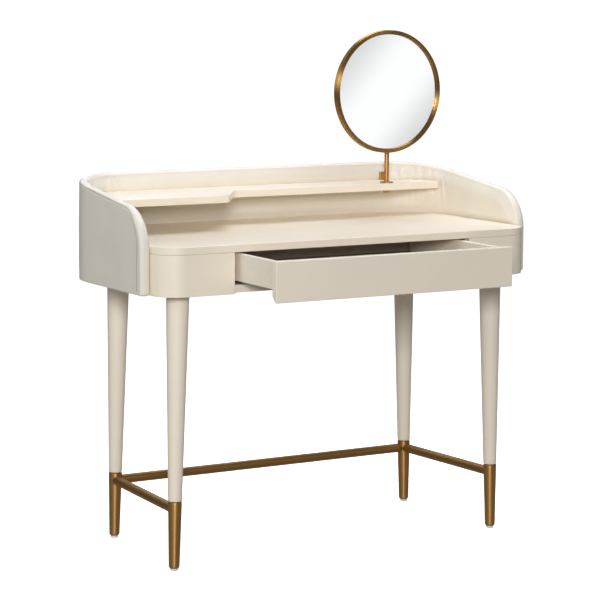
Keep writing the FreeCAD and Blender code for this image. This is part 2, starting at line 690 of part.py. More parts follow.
SIDES = (("left", -1), ("right", 1))
LEG_NAMES = ("front_left", "front_right", "back_left", "back_right")
LEG_TOPS = (
    ("-leg_front_across", "leg_front_back", "-"),
    ("leg_front_across", "leg_front_back", "-"),
    ("-leg_rear_across", "leg_rear_back", "+"),
    ("leg_rear_across", "leg_rear_back", "+"),
)
RUNNER_SCREWS = [(f"{side} * runner_across", f"runner_start + runner_long * {share}")
                 for _, side in SIDES for share in (0.08, 0.5, 0.92)]
FLANGE_SCREWS = [(f"post_across + flange_screw_circle * cos({angle})",
                  f"post_back + flange_screw_circle * sin({angle})") for angle in (45, 135, 225, 315)]

make_worktop()
make_bottom_panel()
for side_label, side_sign in SIDES:
    make_case_sides(side_label, side_sign)
box("back_rail", ("rear_radius - case_half", "case_back - case_board", "case_floor"),
    ("2 * (case_half - rear_radius)", "case_board", "worktop_top - worktop_thick - case_floor"))
make_gallery()
make_shelf()
make_mirror()
make_drawer()
make_runners()
make_legs()
stretcher("stretcher_left", LEG_TOPS[0], LEG_TOPS[2])
stretcher("stretcher_right", LEG_TOPS[1], LEG_TOPS[3])
stretcher("stretcher_back", LEG_TOPS[2], LEG_TOPS[3])
make_fasteners()
doc.recompute()

for item in doc.Objects:
    assert "Invalid" not in item.State and "Error" not in item.State, f"{item.Label}: {item.State}"
os.makedirs("parts", exist_ok=True)
for node in nodes:
    assert not node.Shape.isNull() and node.Shape.isValid(), f"{node.Label}: bad shape"
    node.Shape.exportStep(f"parts/{node.Label}.step")
print(len(nodes), "sub-parts written")
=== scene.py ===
import math
import random

import bpy
import numpy as np
from mathutils import Matrix, Vector, noise


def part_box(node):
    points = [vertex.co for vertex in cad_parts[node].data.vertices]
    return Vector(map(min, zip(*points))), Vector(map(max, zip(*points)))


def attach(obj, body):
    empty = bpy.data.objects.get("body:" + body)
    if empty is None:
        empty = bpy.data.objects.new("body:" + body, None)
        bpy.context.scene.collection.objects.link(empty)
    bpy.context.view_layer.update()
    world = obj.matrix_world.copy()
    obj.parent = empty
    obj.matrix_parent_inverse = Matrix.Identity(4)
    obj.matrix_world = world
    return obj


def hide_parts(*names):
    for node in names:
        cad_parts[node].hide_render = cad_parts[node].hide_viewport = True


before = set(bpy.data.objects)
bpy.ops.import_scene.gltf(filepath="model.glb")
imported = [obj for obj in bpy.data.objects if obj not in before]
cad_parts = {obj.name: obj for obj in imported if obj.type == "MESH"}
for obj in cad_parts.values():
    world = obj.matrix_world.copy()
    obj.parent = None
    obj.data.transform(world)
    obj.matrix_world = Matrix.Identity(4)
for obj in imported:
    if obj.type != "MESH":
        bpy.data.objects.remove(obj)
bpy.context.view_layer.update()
random.seed(7)

# ---- dimensions shared by several pieces, in metres -------------------------------------------

CASE_LOW = 0.646            # underside of the case and of the gallery
CASE_HALF = 0.5065          # half the case's width
CASE_FRONT = -0.167
CASE_REAR = 0.323
CASE_ROUND = 0.060          # radius of the case's front corners

WALL_HALF = 0.0125          # half the gallery wall's thickness
WALL_MIDDLE = 0.520         # side walls' middle surface, from the centre
REAR_MIDDLE = 0.3365        # rear wall's middle surface
CORNER = 0.1565             # rear corners' radius on the middle surface
CORNER_X = 0.3635           # rear corners' centres
CORNER_Y = 0.180
WALL_FRONT = -0.105         # front edge of the side walls
NOSE = 0.100                # upper front corner's radius
NOSE_Z = 0.748              # height of that corner's centre
NOSE_END = math.radians(82.6)
SLOPE = math.tan(math.radians(7.4))     # of the side walls' top edge
SLOPE_END = 0.291           # how far back the sloping edge goes
SLOPE_TOP = 0.88725         # its height there
CROWN = 0.45                # radius of the arc that joins the sloping edge to the level rear
CROWN_Y = 0.349
CROWN_Z = 0.441

# lengths of the wall's middle line from its right front end, round the back, to its left front end
SIDE_RUN = CORNER_Y - WALL_FRONT
CORNER_RUN = math.pi / 2 * CORNER
REAR_RUN = 2 * CORNER_X
WHOLE_RUN = 2 * (SIDE_RUN + CORNER_RUN) + REAR_RUN


# ---- materials ---------------------------------------------------------------------------------

def srgb(r, g, b):
    """Display colour 0-255 to linear RGBA."""
    return [((c / 255 + 0.055) / 1.055) ** 2.4 if c > 10 else c / 3294.6 for c in (r, g, b)] + [1.0]


class Shader:
    """A small node graph builder round one Principled shader."""

    def __init__(self, name, **constants):
        self.material = bpy.data.materials.new(name)
        self.material.use_nodes = True
        self.tree = self.material.node_tree
        self.bsdf = self.tree.nodes["Principled BSDF"]
        for key, value in constants.items():
            self.bsdf.inputs[key.replace("_", " ")].default_value = value
        self.normal = None

    def put(self, socket, value):
        """Link value to socket if it is another node's output, else set it there."""
        if isinstance(value, bpy.types.NodeSocket):
            self.tree.links.new(value, socket)
        else:
            socket.default_value = value

    def add(self, kind, **inputs):
        """A new node; an input's name has _ for a space."""
        item = self.tree.nodes.new(kind)
        for key, value in inputs.items():
            self.put(item.inputs[key.replace("_", " ")], value)
        return item

    def coords(self, source="Object", scale=(1, 1, 1)):
        where = self.add("ShaderNodeTexCoord").outputs[source]
        return self.add("ShaderNodeMapping", Vector=where, Scale=scale).outputs["Vector"]

    def noise(self, vector, scale, detail=2.0, rough=0.5, distortion=0.0):
        return self.add("ShaderNodeTexNoise", Vector=vector, Scale=scale, Detail=detail,
                        Roughness=rough, Distortion=distortion).outputs["Fac"]

    def spread(self, value, low, high, start=0.0, end=1.0):
        """value from start..end mapped to low..high."""
        return self.add("ShaderNodeMapRange", Value=value, From_Min=start, From_Max=end,
                        To_Min=low, To_Max=high).outputs["Result"]

    def blend(self, factor, first, second):
        """The colour first where factor is 0, second where it is 1."""
        item = self.tree.nodes.new("ShaderNodeMix")
        item.data_type = "RGBA"
        colours = [socket for socket in item.inputs if socket.type == "RGBA"]
        for socket, value in zip([item.inputs[0]] + colours, (factor, first, second)):
            self.put(socket, value)
        return next(socket for socket in item.outputs if socket.type == "RGBA")

    def bump(self, height, strength, distance):
        """A bump on top of the ones added before it."""
        item = self.add("ShaderNodeBump", Height=height, Strength=strength, Distance=distance)
        if self.normal is not None:
            self.tree.links.new(self.normal, item.inputs["Normal"])
        self.normal = item.outputs["Normal"]

    def feed(self, name, value):
        self.put(self.bsdf.inputs[name], value)

    def done(self):
        if self.normal is not None:
            self.tree.links.new(self.normal, self.bsdf.inputs["Normal"])
        return self.material


def shade(colour, factor):
    """The colour made lighter or darker."""
    return [min(c * factor, 1) for c in colour[:3]] + [1.0]


def lacquer(name, colour, rough=0.38):
    """Sprayed satin lacquer: faint mottling, orange peel, and a painted highlight that lightens the sharp
    edges.
    """
    s = Shader(name, Coat_Weight=0.35, Coat_Roughness=0.28)
    where = s.coords()
    mottling = s.noise(where, 5.0, 4.0, 0.6)
    base = s.blend(s.spread(mottling, 0, 1, 0.3, 0.7), shade(colour, 0.965), shade(colour, 1.015))
    # painted highlight: the colour is made lighter on sharp edges, where light catches them
    edge = s.add("ShaderNodeNewGeometry").outputs["Pointiness"]
    edge_highlight = s.spread(edge, 0, 0.5, 0.52, 0.62)
    s.feed("Base Color", s.blend(edge_highlight, base, shade(colour, 1.05)))
    s.feed("Roughness", s.spread(s.noise(where, 22.0, 3.0), rough - 0.05, rough + 0.06, 0.3, 0.7))
    s.bump(s.noise(where, 620.0, 2.0), 0.10, 0.0003)
    s.bump(s.noise(where, 60.0, 2.0), 0.05, 0.0010)
    return s.done()


def leather(name, colour):
    """Fine-grained upholstery leather: pebbled cells, pores with painted shade darkening the valleys between
    the cells, soft folds and uneven sheen.
    """
    s = Shader(name, Coat_Weight=0.06, Coat_Roughness=0.4, Sheen_Weight=0.06)
    where = s.coords()
    cells = s.add("ShaderNodeTexVoronoi", Vector=where, Scale=620.0, Randomness=0.9).outputs["Distance"]
    folds = s.noise(where, 150.0, 5.0, 0.62, 0.4)
    clouds = s.noise(where, 7.0, 4.0, 0.6)
    base = s.blend(s.spread(clouds, 0, 1, 0.3, 0.7), shade(colour, 0.95), shade(colour, 1.02))
    # painted shade: the colour is darkened in the valleys between the pebbled cells
    valley_shade = s.spread(cells, 0.0, 0.16, 0.35, 0.95)
    s.feed("Base Color", s.blend(valley_shade, base, shade(colour, 0.80)))
    s.feed("Roughness", s.spread(folds, 0.40, 0.58, 0.3, 0.7))
    s.bump(s.spread(cells, 1, 0, 0.1, 0.9), 0.32, 0.0004)
    s.bump(folds, 0.22, 0.0007)
    s.bump(s.noise(where, 26.0, 3.0), 0.16, 0.003)
    return s.done()


def brass(name, colour, scale, source="UV", rough=0.30, stretch=0.0):
    """Brushed brass: hair lines along the texture's first direction, uneven lustre. stretch is how
    much the hair lines draw highlights out across themselves; it needs a UV map."""
    s = Shader(name, Metallic=1.0, Anisotropic=stretch, Anisotropic_Rotation=0.25)
    if stretch:
        way = s.add("ShaderNodeTangent")
        way.direction_type = "UV_MAP"
        way.uv_map = "UVMap"
        s.feed("Tangent", way.outputs["Tangent"])
    lines = s.noise(s.coords(source, scale), 1.0, 3.0, 0.65)
    patches = s.noise(s.coords(), 28.0, 3.0)
    tone = s.blend(s.spread(lines, 0, 1, 0.3, 0.7), shade(colour, 0.84), shade(colour, 1.10))
    s.feed("Base Color", s.blend(s.spread(patches, 0, 0.25, 0.35, 0.75), tone, shade(colour, 0.80)))
    s.feed("Roughness", s.spread(lines, rough - 0.06, rough + 0.10, 0.3, 0.7))
    s.bump(lines, 0.05, 0.00001)
    return s.done()


def mirror_glass(name):
    """Silvered glass with a trace of smears."""
    s = Shader(name, Metallic=1.0, Base_Color=(0.93, 0.935, 0.94, 1))
    smear = s.noise(s.coords(), 14.0, 4.0)
    s.feed("Roughness", s.spread(smear, 0.012, 0.035, 0.3, 0.8))
    return s.done()


def plastic(name, colour, rough=0.45):
    """Moulded plastic or thread: slight mottling and a fine texture."""
    s = Shader(name, Subsurface_Weight=0.1, Subsurface_Scale=0.002)
    where = s.coords()
    s.feed("Base Color", s.blend(s.spread(s.noise(where, 90.0, 3.0), 0, 1, 0.3, 0.7),
                                 shade(colour, 0.93), shade(colour, 1.02)))
    s.feed("Roughness", s.spread(s.noise(where, 400.0), rough - 0.08, rough + 0.1))
    s.bump(s.noise(where, 900.0), 0.2, 0.0002)
    return s.done()


def steel(name, colour=(0.56, 0.56, 0.55)):
    """Zinc-plated sheet with rolling lines and blotches."""
    s = Shader(name, Metallic=1.0)
    lines = s.noise(s.coords("Object", (900, 12, 900)), 1.0, 2.0)
    spots = s.noise(s.coords(), 120.0, 4.0, 0.7)
    s.feed("Base Color", s.blend(s.spread(spots, 0, 1, 0.35, 0.65), [*colour, 1],
                                 shade([*colour, 1], 0.78)))
    s.feed("Roughness", s.spread(lines, 0.26, 0.45, 0.3, 0.7))
    s.bump(lines, 0.15, 0.00005)
    return s.done()


def board(name, pale, dark, grain=(6, 60, 220)):
    """Birch board: long grain on the faces, plies where the edge shows."""
    s = Shader(name, Specular_IOR_Level=0.3)
    fibres = s.noise(s.coords("Object", grain), 1.0, 5.0, 0.6, 0.3)
    plies = s.noise(s.coords("Object", (3, 3, 480)), 1.0, 0.0)
    tone = s.blend(s.spread(fibres, 0, 1, 0.3, 0.7), pale, dark)
    s.feed("Base Color", s.blend(s.spread(plies, 0, 0.3, 0.45, 0.6), tone, shade(dark, 0.8)))
    s.feed("Roughness", s.spread(fibres, 0.55, 0.72))
    s.bump(fibres, 0.2, 0.0004)
    return s.done()


def foil(name, colour):
    """Foil with a faint linen print, on the drawer's boards."""
    s = Shader(name)
    across = s.noise(s.coords("Object", (40, 1500, 40)), 1.0, 2.0)
    along = s.noise(s.coords("Object", (1500, 40, 1500)), 1.0, 2.0)
    weave = s.add("ShaderNodeMath", Value=across)
    s.put(weave.inputs[1], along)
    tone = s.spread(weave.outputs[0], 0, 1, 0.8, 1.2)
    s.feed("Base Color", s.blend(tone, shade(colour, 0.93), shade(colour, 1.03)))
    s.feed("Roughness", s.spread(tone, 0.42, 0.55))
    s.bump(tone, 0.12, 0.0002)
    return s.done()


def coated(name, colour):
    """Powder-coated sheet."""
    s = Shader(name, Metallic=0.6)
    grain = s.noise(s.coords(), 1400.0, 2.0)
    s.feed("Base Color", s.blend(s.spread(grain, 0, 1, 0.3, 0.7), shade(colour, 0.88), colour))
    s.feed("Roughness", s.spread(grain, 0.42, 0.56))
    s.bump(grain, 0.3, 0.0002)
    return s.done()


CREAM = srgb(249, 237, 213)
HIDE = srgb(241, 233, 215)
GOLD = [0.60, 0.335, 0.105, 1.0]

MATERIALS = {
    "lacquer": lacquer("cream_lacquer", CREAM),
    "leather": leather("cream_leather", HIDE),
    "brass_turned": brass("brass_turned", GOLD, (24, 5200, 1), rough=0.43, stretch=0.6),
    # painted shade: the rods' brass is a darker copy of the same gold, standing in for the shade they lie in
    "brass_shaded_rod": brass("brass_shaded_rod", shade(GOLD, 0.66), (24, 5200, 1), rough=0.40, stretch=0.5),
    # painted shade: the ring's brass is a darker copy of the same gold, standing in for the dark surroundings
    # it reflects
    "brass_shaded_ring": brass("brass_shaded_ring", shade(GOLD, 0.78), (2, 3200, 1), rough=0.40, stretch=1.0),
    "brass_plain": brass("brass_plain", GOLD, (2600, 2600, 60), "Object"),
    "mirror": mirror_glass("silvered_glass"),
    "glide": plastic("glide_plastic", srgb(232, 234, 240)),
    "steel": steel("zinc_plated"),
    "board": board("birch_board", srgb(214, 190, 152), srgb(188, 158, 118)),
    "drawer_board": foil("linen_foil", srgb(244, 233, 214)),
    # painted shade: the drawer's back and bottom get a darker foil that stands in for the shade inside the
    # drawer
    "drawer_shaded_base": foil("shaded_grey_foil", srgb(172, 158, 142)),
    "back_plate": coated("coated_back", srgb(176, 138, 92)),
    "thread": plastic("thread", srgb(118, 108, 90), 0.7),
}


# ---- mesh building -----------------------------------------------------------------------------

def piece(name, verts, faces, material, body, replaced=(), slot=None, uvs=None, flat=()):
    """A mesh object that rides on a body. uvs gives one pair per vertex; flat lists unsmoothed faces."""
    data = bpy.data.meshes.new(name)
    data.from_pydata([tuple(v) for v in verts], [], [tuple(f) for f in faces])
    data.materials.append(MATERIALS[material])
    rounded = np.ones(len(faces), dtype=bool)
    rounded[list(flat)] = False
    data.polygons.foreach_set("use_smooth", rounded)
    if uvs is not None:
        layer = data.uv_layers.new(name="UVMap")
        corners = np.empty(len(data.loops), dtype=np.int32)
        data.loops.foreach_get("vertex_index", corners)
        layer.data.foreach_set("uv", np.asarray(uvs, dtype=np.float32)[corners].ravel())
    data.validate()
    data.update()
    thing = bpy.data.objects.new(name, data)
    bpy.context.scene.collection.objects.link(thing)
    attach(thing, body)
    if replaced:
        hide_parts(*replaced)
    return thing


def crisp(thing, angle=35):
    """Edges sharper than angle stay sharp, and broad faces shade flat up to their eased edges."""
    thing.data.set_sharp_from_angle(angle=math.radians(angle))
    weigh = thing.modifiers.new("weigh", "WEIGHTED_NORMAL")
    weigh.mode = "FACE_AREA"
    weigh.weight = 100
    weigh.keep_sharp = True
    return thing


def quads(rows, columns, wrap=False, start=0):
    """Faces of a grid whose vertices run along columns first."""
    faces = []
    for r in range(rows - 1):
        for c in range(columns if wrap else columns - 1):
            d = (c + 1) % columns
            a = start + r * columns
            b = a + columns
            faces.append((a + c, a + d, b + d, b + c))
    return faces


def arc(centre, radius, first, last, steps):
    """Points round an arc, angles in degrees."""
    angles = np.radians(np.linspace(first, last, steps + 1))
    return [(centre[0] + radius * math.cos(a), centre[1] + radius * math.sin(a)) for a in angles]


def inset(plan, amount):
    """The closed outline moved inwards by amount, corner by corner."""
    points = np.asarray(plan, dtype=float)
    before = points - np.roll(points, 1, axis=0)
    after = np.roll(points, -1, axis=0) - points
    before /= np.linalg.norm(before, axis=1)[:, None]
    after /= np.linalg.norm(after, axis=1)[:, None]
    inward_before = np.stack([-before[:, 1], before[:, 0]], axis=1)
    inward_after = np.stack([-after[:, 1], after[:, 0]], axis=1)
    middle = inward_before + inward_after
    least = 0.35                # keeps a very sharp corner from running away
    scale = np.maximum((middle * inward_before).sum(axis=1), least)
    return points + middle / scale[:, None] * amount


NEARLY_STRAIGHT = math.radians(155)


def soften(plan, radius, steps=4):
    """The outline with each sharp corner turned into a small arc."""
    points = [Vector(p) for p in plan]
    result = []
    for k, here in enumerate(points):
        to_last = (points[k - 1] - here).normalized()
        to_next = (points[(k + 1) % len(points)] - here).normalized()
        opening = to_last.angle(to_next)
        if opening > NEARLY_STRAIGHT:
            result.append(tuple(here))
            continue
        reach = radius / math.tan(opening / 2)
        start, end = here + to_last * reach, here + to_next * reach
        centre = here + (to_last + to_next).normalized() * (radius / math.sin(opening / 2))
        for j in range(steps + 1):
            t = j / steps
            spoke = (start - centre).lerp(end - centre, t).normalized() * radius
            result.append(tuple(centre + spoke))
    return result


def prism(name, plan, low, high, ease, material, body, axes="xyz", steps=4, **options):
    """An outline (anticlockwise) extruded from low to high, with eased edges all round.
    axes names the axes that the outline's two directions and the extrusion follow."""
    plan = soften(plan, ease * 1.3)
    levels = []
    for k in range(steps + 1):
        turn = k / steps * math.pi / 2
        levels.append((ease * (1 - math.sin(turn)), low + ease * (1 - math.cos(turn))))
    levels += [(amount, high + low - level) for amount, level in reversed(levels)]
    rings = [np.column_stack([inset(plan, amount), np.full(len(plan), level)])
             for amount, level in levels]
    order = [axes.index(axis) for axis in "xyz"]
    verts = np.vstack(rings)[:, order]
    count = len(plan)
    faces = quads(len(rings), count, wrap=True) + ends(len(rings), count)
    mirrored = order not in ([0, 1, 2], [1, 2, 0], [2, 0, 1])
    if mirrored:
        faces = [tuple(reversed(face)) for face in faces]
    return crisp(piece(name, verts, faces, material, body, **options))


def ends(count, sides, start=0):
    """The two faces that close a tube of count rings, as quads() numbers them."""
    last = start + (count - 1) * sides
    return [tuple(reversed(range(start, start + sides))), tuple(range(last, last + sides))]


def lathe(name, centres, radii, material, body, sides=48, across=None, **options):
    """Round sections along a line of centres; across gives the two directions of each section."""
    one, two = across or (Vector((1, 0, 0)), Vector((0, 1, 0)))
    verts, uvs, travelled = [], [], 0.0
    for k, (centre, radius) in enumerate(zip(centres, radii)):
        if k:
            travelled += (Vector(centre) - Vector(centres[k - 1])).length + abs(radius - radii[k - 1])
        for j in range(sides):
            turn = 2 * math.pi * j / sides
            verts.append(Vector(centre) + float(radius) * (math.cos(turn) * one + math.sin(turn) * two))
            uvs.append((j / sides, travelled))
    faces = quads(len(centres), sides, wrap=True) + ends(len(centres), sides)
    return piece(name, verts, faces, material, body, uvs=uvs,
                 flat=(len(faces) - 2, len(faces) - 1), **options)


def ring_turned(name, centre, profile, material, body, segments=160, **options):
    """A closed profile of (radius, depth along Y) turned about a Y axis through centre."""
    typical_radius = 0.15       # turns angle into length for the texture
    verts, uvs = [], []
    for k in range(segments + 1):
        turn = 2 * math.pi * k / segments
        travelled = 0.0
        for j, (radius, depth) in enumerate(profile):
            if j:
                travelled += math.hypot(radius - profile[j - 1][0], depth - profile[j - 1][1])
            verts.append((centre[0] + radius * math.cos(turn), centre[1] + depth,
                          centre[2] + radius * math.sin(turn)))
            uvs.append((turn * typical_radius, travelled))
    count = len(profile)
    faces = [tuple(reversed(f)) for f in quads(segments + 1, count, wrap=True)]
    return piece(name, verts, faces, material, body, uvs=uvs, **options)


# ---- case, worktop and shelf ----------------------------------------------------------------------

def case_pieces():
    """The worktop, and under it the two blocks with the rounded front corners."""
    round_x, round_y = CASE_HALF - CASE_ROUND, CASE_FRONT + CASE_ROUND
    rear_round = 0.143
    rear_x, rear_y = CASE_HALF - rear_round, CASE_REAR - rear_round
    plan = (arc((round_x, round_y), CASE_ROUND, -90, 0, 20)
            + arc((rear_x, rear_y), rear_round, 0, 90, 24)
            + arc((-rear_x, rear_y), rear_round, 90, 180, 24)
            + arc((-round_x, round_y), CASE_ROUND, 180, 270, 20))
    top, thick, seam = 0.760, 0.018, 0.0002
    prism("worktop_panel", plan, top - thick, top, 0.0016, "lacquer", "table",
          replaced=["worktop"], slot="lacquer")
    block_thick, block_start, block_end = 0.022, 0.3235, -0.060
    for side, label in ((-1, "left"), (1, "right")):
        outer = arc((round_x, round_y), CASE_ROUND, -90, 0, 20)
        inner = arc((round_x, round_y), CASE_ROUND - block_thick, 0, -90, 14)
        plan = ([(block_start, CASE_FRONT)] + outer
                + [(CASE_HALF, block_end), (CASE_HALF - block_thick, block_end)]
                + inner + [(block_start, CASE_FRONT + block_thick)])
        if side < 0:
            plan = [(-x, y) for x, y in reversed(plan)]
        prism(f"corner_block_{label}", plan, CASE_LOW, top - thick - seam, 0.0012, "lacquer", "table",
              replaced=[f"{label}_fascia"], slot="lacquer")
    shelf()


def shelf():
    """The shelf: deep at the left, then a step on a slant to the narrow right part."""
    slant = 56                  # degrees between the step and the front edges
    deep_front, narrow_front, step_start = 0.104, 0.210, -0.190
    step_round, inner_round, end_round = 0.012, 0.025, 0.012
    rear_x, rear_y, rear_round = 0.364, 0.1985, 0.125
    end_x, low, high = 0.477, 0.827, 0.845
    end_turn, rear_turn = -4, 11    # degrees where the right end's two arcs are joined by a straight line
    turn = math.radians(slant)
    run_out = step_round * math.tan(turn / 2)
    run_in = inner_round * math.tan(turn / 2)
    step_end = step_start + (narrow_front - deep_front) / math.tan(turn)
    plan = arc((step_start - run_out, deep_front + step_round), step_round, -90, slant - 90, 8)
    plan += arc((step_end + run_in, narrow_front - inner_round), inner_round, slant + 90, 90, 10)
    plan += arc((end_x, narrow_front + end_round), end_round, -90, end_turn, 8)
    plan += arc((rear_x, rear_y), rear_round, rear_turn, 90, 20)
    plan += arc((-rear_x, rear_y), rear_round, 90, 180, 22)
    plan += arc((-end_x, deep_front + end_round), end_round, 180, 270, 8)
    prism("shelf_panel", plan, low, high, 0.0016, "lacquer", "table",
          replaced=["shelf"], slot="lacquer")


# ---- drawer -----------------------------------------------------------------------------------------

def drawer_pieces():
    """The drawer's front, with its lower rear edge cut at a slant, and its two sides."""
    face, rear, top, cut = -0.349, -0.331, 0.740, 0.014
    side_view = [(face, CASE_LOW), (rear - cut, CASE_LOW), (rear, CASE_LOW + cut), (rear, top), (face, top)]
    half = 0.3205
    prism("drawer_face", side_view, -half, half, 0.0014, "lacquer", "drawer", axes="yzx",
          replaced=["drawer_front"], slot="lacquer")
    wall_low, wall_top, wall_round, wall_long = 0.674, 0.738, 0.003, 0.400
    for side, label in ((-1, "left"), (1, "right")):
        inner, outer = sorted((side * 0.2975, side * 0.3095))   # the faces' places, from the centre
        end_view = [(inner, wall_low), (outer, wall_low)]
        end_view += arc((outer - wall_round, wall_top - wall_round), wall_round, 0, 90, 6)
        end_view += arc((inner + wall_round, wall_top - wall_round), wall_round, 90, 180, 6)
        prism(f"drawer_wall_{label}", end_view, rear, rear + wall_long, 0.0003, "drawer_board", "drawer",
              axes="xzy", replaced=[f"drawer_{label}_side"], slot="drawer_board")


# ---- legs -------------------------------------------------------------------------------------------

LEGS = {
    # name: (x and y of the leg's axis at the case, and the way it splays)
    "front_left": (-0.434, -0.096, -1, -1),
    "front_right": (0.434, -0.096, 1, -1),
    "back_left": (-0.411, 0.2575, -1, 1),
    "back_right": (0.411, 0.2575, 1, 1),
}
LEG_SPLAY = (0.0115, 0.0036)    # how far a foot stands out beyond the leg's top, sideways and along Y
LEG_TOP_RADIUS = 0.0270
LEG_LOW_RADIUS = 0.0162     # at the ferrule's upper edge
FERRULE_LOW_RADIUS = 0.0123
FERRULE_TOP = 0.162
FERRULE_LOW = 0.006


def leg_point(label, z):
    """Point on a leg's axis at height z."""
    x, y, across, along = LEGS[label]
    share = (CASE_LOW - z) / CASE_LOW
    return Vector((x + across * LEG_SPLAY[0] * share, y + along * LEG_SPLAY[1] * share, z))


def leg_part(label, profile, name, material, node, slot):
    """A lathed part of a leg, from a profile of (height, radius)."""
    lathe(f"{name}_{label}", [leg_point(label, z) for z, _ in profile], [r for _, r in profile],
          material, "table", replaced=[f"{node}_{label}"], slot=slot)


def leg_pieces():
    """Tapered legs, each with a brass ferrule and a plastic glide, and the rods between them."""
    # each profile is (height, radius); the wood starts as (height, how much slimmer than the taper)
    wood = [(0.1640, 0.0014), (0.1650, 0.0004), (0.1665, 0.0)]
    wood += [(float(z), 0.0) for z in np.linspace(0.175, 0.640, 14)] + [(CASE_LOW, 0.0)]
    taper = (LEG_TOP_RADIUS - LEG_LOW_RADIUS) / (CASE_LOW - FERRULE_TOP)
    wood = [(z, LEG_TOP_RADIUS - (CASE_LOW - z) * taper - eased) for z, eased in wood]
    flare = (LEG_LOW_RADIUS - FERRULE_LOW_RADIUS) / (FERRULE_TOP - FERRULE_LOW)
    cup = [(0.006, 0.0097), (0.0064, 0.0104), (0.0088, 0.0120), (0.0096, 0.01245)]
    cup += [(float(z), FERRULE_LOW_RADIUS + (z - FERRULE_LOW) * flare + 0.0001)
            for z in np.linspace(0.0115, 0.1600, 10)]
    cup += [(0.1610, 0.01620), (0.1618, 0.0160), (0.1621, 0.0155), (0.1621, 0.0120)]
    pad = [(0.0, 0.0062), (0.0004, 0.0076), (0.0014, 0.0086), (0.0028, 0.0090), (0.0068, 0.0090)]
    for label in LEGS:
        leg_part(label, wood, "leg_wood", "lacquer", "leg", "lacquer")
        leg_part(label, cup, "ferrule_cup", "brass_turned", "ferrule", "brass")
        leg_part(label, pad, "glide_pad", "glide", "glide", "glide")
    height, radius, hidden, shown = 0.144, 0.0113, 0.0100, 0.0165
    for name, first, second in (("left", "front_left", "back_left"),
                                ("right", "front_right", "back_right"),
                                ("back", "back_left", "back_right")):
        start, stop = leg_point(first, height), leg_point(second, height)
        along = (stop - start).normalized()
        across = along.cross(Vector((0, 0, 1))).normalized()
        length = (stop - start).length
        spots = [hidden, *np.linspace(shown, length - shown, 8), length - hidden]
        lathe(f"stretcher_rod_{name}", [start + along * float(t) for t in spots], [radius] * len(spots),
              "brass_shaded_rod", "table", sides=36, across=(across, Vector((0, 0, 1))),
              replaced=[f"stretcher_{name}"], slot="brass")


# ---- mirror -----------------------------------------------------------------------------------------

MIRROR = (0.340, 0.234, 1.077)      # the middle of the ring


def mirror_pieces():
    """The ring and its glass, the post with its clamp and nut, and the flange on the shelf."""
    outer, width, deep, soft = 0.1555, 0.0095, 0.00775, 0.0009
    corners = [(outer - width, -deep, 180), (outer - width, deep, 90),
               (outer, deep, 0), (outer, -deep, -90)]
    profile = []
    for radius, depth, start in corners:
        centre = (radius + (soft if radius < outer else -soft), depth + (soft if depth < 0 else -soft))
        profile += arc(centre, soft, start + 90, start, 5)
    ring_turned("mirror_hoop", MIRROR, profile, "brass_shaded_ring", "mirror",
                replaced=["mirror_ring"], slot="brass")
    glass, front, thick, middle = 0.1459, -0.00225, 0.0038, 0.00002
    face = [(middle, front), (glass - 0.0012, front), (glass - 0.0004, front + 0.0003),
            (glass, front + 0.0008), (glass, front + thick), (middle, front + thick)]
    crisp(ring_turned("mirror_pane", MIRROR, face, "mirror", "mirror", replaced=["mirror_glass"],
                      slot="mirror"), 8)
    x, y, _ = MIRROR
    post = [(0.8192, 0.0050), (0.8196, 0.0058), (0.8206, 0.0060), (0.9160, 0.0060), (0.9225, 0.0060)]
    flange = [(0.8449, 0.0174), (0.8462, 0.0174), (0.8470, 0.0170), (0.8474, 0.0162), (0.8474, 0.0064)]
    for name, profile, body, node in (("mirror_stem", post, "mirror", "mirror_post"),
                                      ("flange_plate", flange, "table", "mirror_flange")):
        lathe(name, [(x, y, z) for z, _ in profile], [r for _, r in profile], "brass_turned", body,
              replaced=[node], slot="brass")
    low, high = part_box("post_clamp")
    inner = x - 0.0052
    plan = [(low[0], low[1]), (inner, low[1]), (inner, high[1]), (low[0], high[1])]
    prism("clamp_wing", plan, low[2], high[2], 0.0012, "brass_plain", "mirror",
          replaced=["post_clamp"], slot="brass")
    low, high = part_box("post_nut")
    prism("hex_nut", arc((x, y), 0.0085, 10, 310, 5), low[2], high[2], 0.0009, "brass_plain", "mirror",
          replaced=["post_nut"], slot="brass")


# ---- upholstered gallery -------------------------------------------------------------------------------

def rear_corner(side, turn):
    """Point and outward direction at an angle round a rear corner; side is 1 at the right, -1 at the left."""
    x, y = math.cos(turn), math.sin(turn)
    return side * CORNER_X + CORNER * x, CORNER_Y + CORNER * y, x, y


def wall_path(s):
    """Point on the wall's middle line and the outward direction, at run s from the right front."""
    if s < SIDE_RUN:
        return WALL_MIDDLE, WALL_FRONT + s, 1.0, 0.0
    s -= SIDE_RUN
    if s < CORNER_RUN:
        return rear_corner(1, s / CORNER)
    s -= CORNER_RUN
    if s < REAR_RUN:
        return CORNER_X - s, REAR_MIDDLE, 0.0, 1.0
    s -= REAR_RUN
    if s < CORNER_RUN:
        return rear_corner(-1, math.pi / 2 + s / CORNER)
    return -WALL_MIDDLE, CORNER_Y - (s - CORNER_RUN), -1.0, 0.0


def top_height(s):
    """Height of the wall's top edge at run s."""
    near = min(s, WHOLE_RUN - s)
    if near < NOSE * (1 - math.cos(NOSE_END)):
        return NOSE_Z + math.sqrt(max(NOSE ** 2 - (NOSE - near) ** 2, 0))
    y = wall_path(near)[1]
    if y > SLOPE_END:
        return CROWN_Z + math.sqrt(CROWN ** 2 - (CROWN_Y - min(y, CROWN_Y)) ** 2)
    return SLOPE_TOP - (SLOPE_END - y) * SLOPE


def smooth(low, high, value):
    """0 at low and beyond, 1 at high and beyond, and a smooth change between; low may be the larger."""
    t = min(max((value - low) / (high - low), 0), 1)
    return t * t * (3 - 2 * t)


